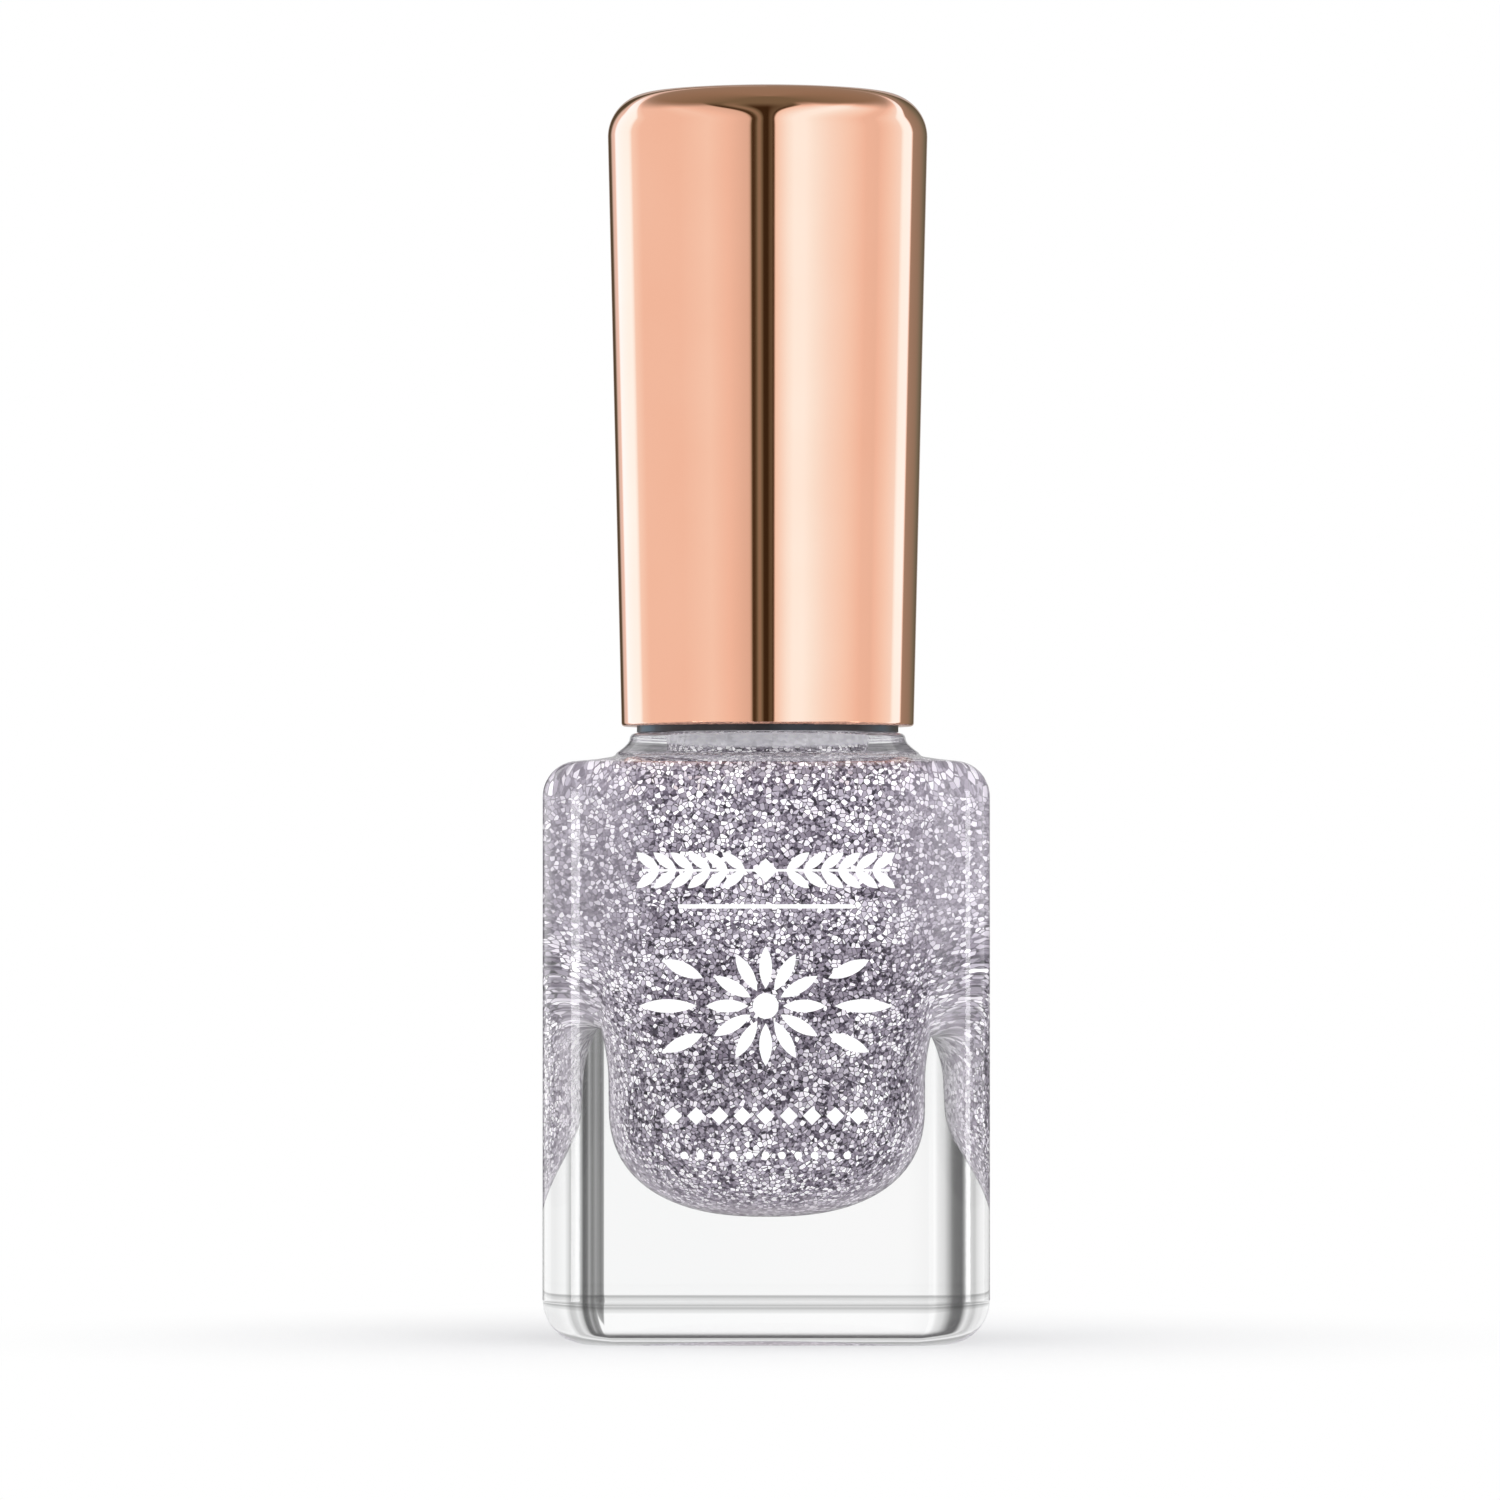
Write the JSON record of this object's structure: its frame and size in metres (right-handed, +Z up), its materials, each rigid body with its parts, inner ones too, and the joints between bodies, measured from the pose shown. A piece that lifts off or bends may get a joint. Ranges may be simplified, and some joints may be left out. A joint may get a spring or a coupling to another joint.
{
  "type": "nail polish bottle",
  "caption": "Square clear glass nail polish bottle filled with silver glitter polish, with a tall round rose-gold screw cap that carries the brush.",
  "frame": {"origin": "centre of the bottle's base, on the plane it stands on", "axes": "+Z up the bottle's axis towards the cap; the printed front face looks along -Y; +X to the right seen from the front"},
  "size_m": [0.0262, 0.0262, 0.0745],
  "materials": {
    "clear_glass": "clear polished",
    "white_ink": "screen-printed ink",
    "glitter_polish": "silver glitter lacquer",
    "ball_steel": "polished",
    "liner_plastic": "soft polyethylene",
    "stem_plastic": "satin",
    "anchor_brass": "plain",
    "bristle_nylon": "fine filaments",
    "inner_cap_plastic": "moulded",
    "rose_gold": "metallised mirror"
  },
  "bodies": {
    "bottle": {"glass_bottle": "clear_glass", "front_print": "white_ink", "polish_fill": "glitter_polish"},
    "ball_left": {"mixing_ball_left": "ball_steel"},
    "ball_right": {"mixing_ball_right": "ball_steel"},
    "liner": {"sealing_liner": "liner_plastic"},
    "brush": {"brush_stem": "stem_plastic", "bristle_anchor": "anchor_brass", "bristle_tuft": "bristle_nylon"},
    "cap": {"inner_cap": "inner_cap_plastic", "outer_cap": "rose_gold"}
  },
  "joints": [
    {"name": "cap_lift", "type": "slide", "parent": "bottle", "child": "liner", "axis": [0, 0, 1], "range_m": [0, 0.048]},
    {"name": "thread_rise", "type": "slide", "parent": "liner", "child": "brush", "axis": [0, 0, 1], "range_m": [0, 0.0032]},
    {"name": "cap_turn", "type": "hinge", "parent": "brush", "child": "cap", "pos_m": [0, 0, 0.0364], "axis": [0, 0, 1], "range_deg": [0, 540]},
    {"name": "ball_left_rattle", "type": "slide", "parent": "bottle", "child": "ball_left", "axis": [0, 0, 1], "range_m": [0, 0.008]},
    {"name": "ball_right_rattle", "type": "slide", "parent": "bottle", "child": "ball_right", "axis": [0, 0, 1], "range_m": [0, 0.008]}
  ],
  "couplings": [
    {"joint": "thread_rise", "follows": "cap_turn", "m_per_rad": 0.00033423}
  ]
}
